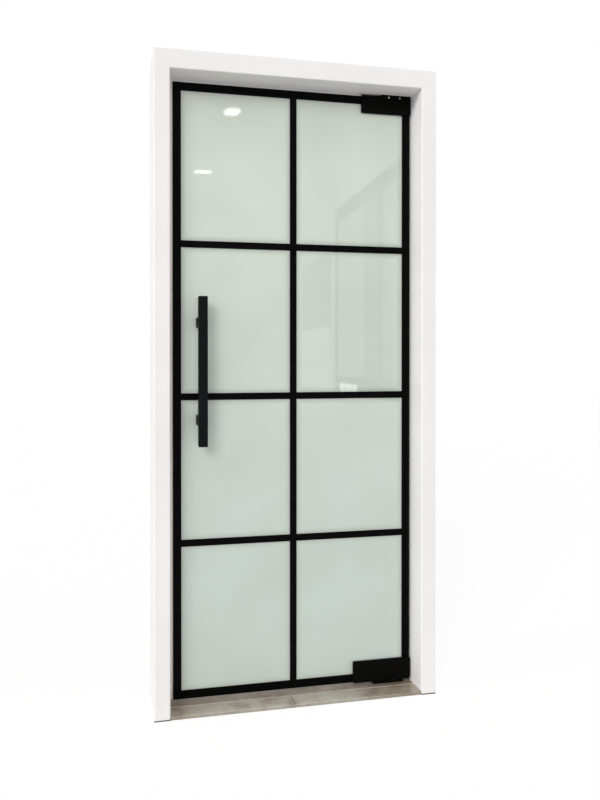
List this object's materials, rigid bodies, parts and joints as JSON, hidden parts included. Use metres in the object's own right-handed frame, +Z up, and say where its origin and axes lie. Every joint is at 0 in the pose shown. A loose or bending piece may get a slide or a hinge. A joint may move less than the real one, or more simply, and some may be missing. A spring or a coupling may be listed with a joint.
{
  "type": "glass pivot door with frame",
  "caption": "Opal glass pivot door in a white box frame, with black glazing strips, patch fittings and square pull bars; the leaf swings both ways and closes by itself.",
  "frame": {"origin": "middle of the frame's underside, in the plane of the closed leaf", "axes": "+Z up, -Y out of the front, +X towards the pivots"},
  "size_m": [0.971, 0.23, 2.172],
  "materials": {
    "lacquer": "white satin lacquer on a timber-based box frame",
    "stone": "honed grey-brown stone",
    "grout": "pale cement joint",
    "steel": "plain steel screws, bolts and pivots",
    "patch_black": "matt black powder coat",
    "pull_black": "satin black powder coat",
    "bush_bronze": "turned bearing bronze",
    "gasket": "soft dark gasket",
    "sleeve": "nylon sleeve",
    "opal_glass": "glossy white opal glass, lets no view through",
    "seal": "soft translucent seal",
    "strip_black": "gloss black anodised strip"
  },
  "bodies": {
    "frame": {"threshold_front": "stone", "threshold_centre": "stone", "threshold_rear": "stone", "threshold_grout": "grout", "strike_post": "lacquer", "hinge_post": "lacquer", "head_rail": "lacquer", "corner_screws": "steel", "head_pivot_plate": "patch_black", "head_pivot_pin": "steel", "head_pivot_screws": "steel", "floor_pivot_plate": "patch_black", "floor_spindle": "steel", "floor_pivot_screws": "steel"},
    "leaf": {"top_patch_bolts": "steel", "bottom_patch_bolts": "steel", "pull_bolts": "steel", "top_patch_body": "patch_black", "top_patch_clamp": "patch_black", "top_patch_front_cover": "patch_black", "top_patch_rear_cover": "patch_black", "closer_housing": "patch_black", "bottom_patch_clamp": "patch_black", "bottom_patch_front_cover": "patch_black", "bottom_patch_rear_cover": "patch_black", "front_pull_bar": "pull_black", "rear_pull_bar": "pull_black", "front_pull_posts": "pull_black", "rear_pull_posts": "pull_black", "head_pivot_bush": "bush_bronze", "spindle_bush": "bush_bronze", "top_patch_gaskets": "gasket", "bottom_patch_gaskets": "gasket", "pull_pads": "gasket", "pull_sleeves": "sleeve", "glass_pane": "opal_glass", "edge_seal": "seal", "front_left_stile": "strip_black", "front_right_stile": "strip_black", "front_top_rail": "strip_black", "front_bottom_rail": "strip_black", "front_upright_bar": "strip_black", "front_low_left_bar": "strip_black", "front_low_right_bar": "strip_black", "front_mid_left_bar": "strip_black", "front_mid_right_bar": "strip_black", "front_high_left_bar": "strip_black", "front_high_right_bar": "strip_black", "rear_left_stile": "strip_black", "rear_right_stile": "strip_black", "rear_top_rail": "strip_black", "rear_bottom_rail": "strip_black", "rear_upright_bar": "strip_black", "rear_low_left_bar": "strip_black", "rear_low_right_bar": "strip_black", "rear_mid_left_bar": "strip_black", "rear_mid_right_bar": "strip_black", "rear_high_left_bar": "strip_black", "rear_high_right_bar": "strip_black"}
  },
  "joints": [
    {"name": "leaf_swing", "type": "hinge", "parent": "frame", "child": "leaf", "pos_m": [0.3735, 0, 0.022], "axis": [0, 0, 1], "range_deg": [-90, 90], "stiffness_Nm_per_rad": 16}
  ]
}
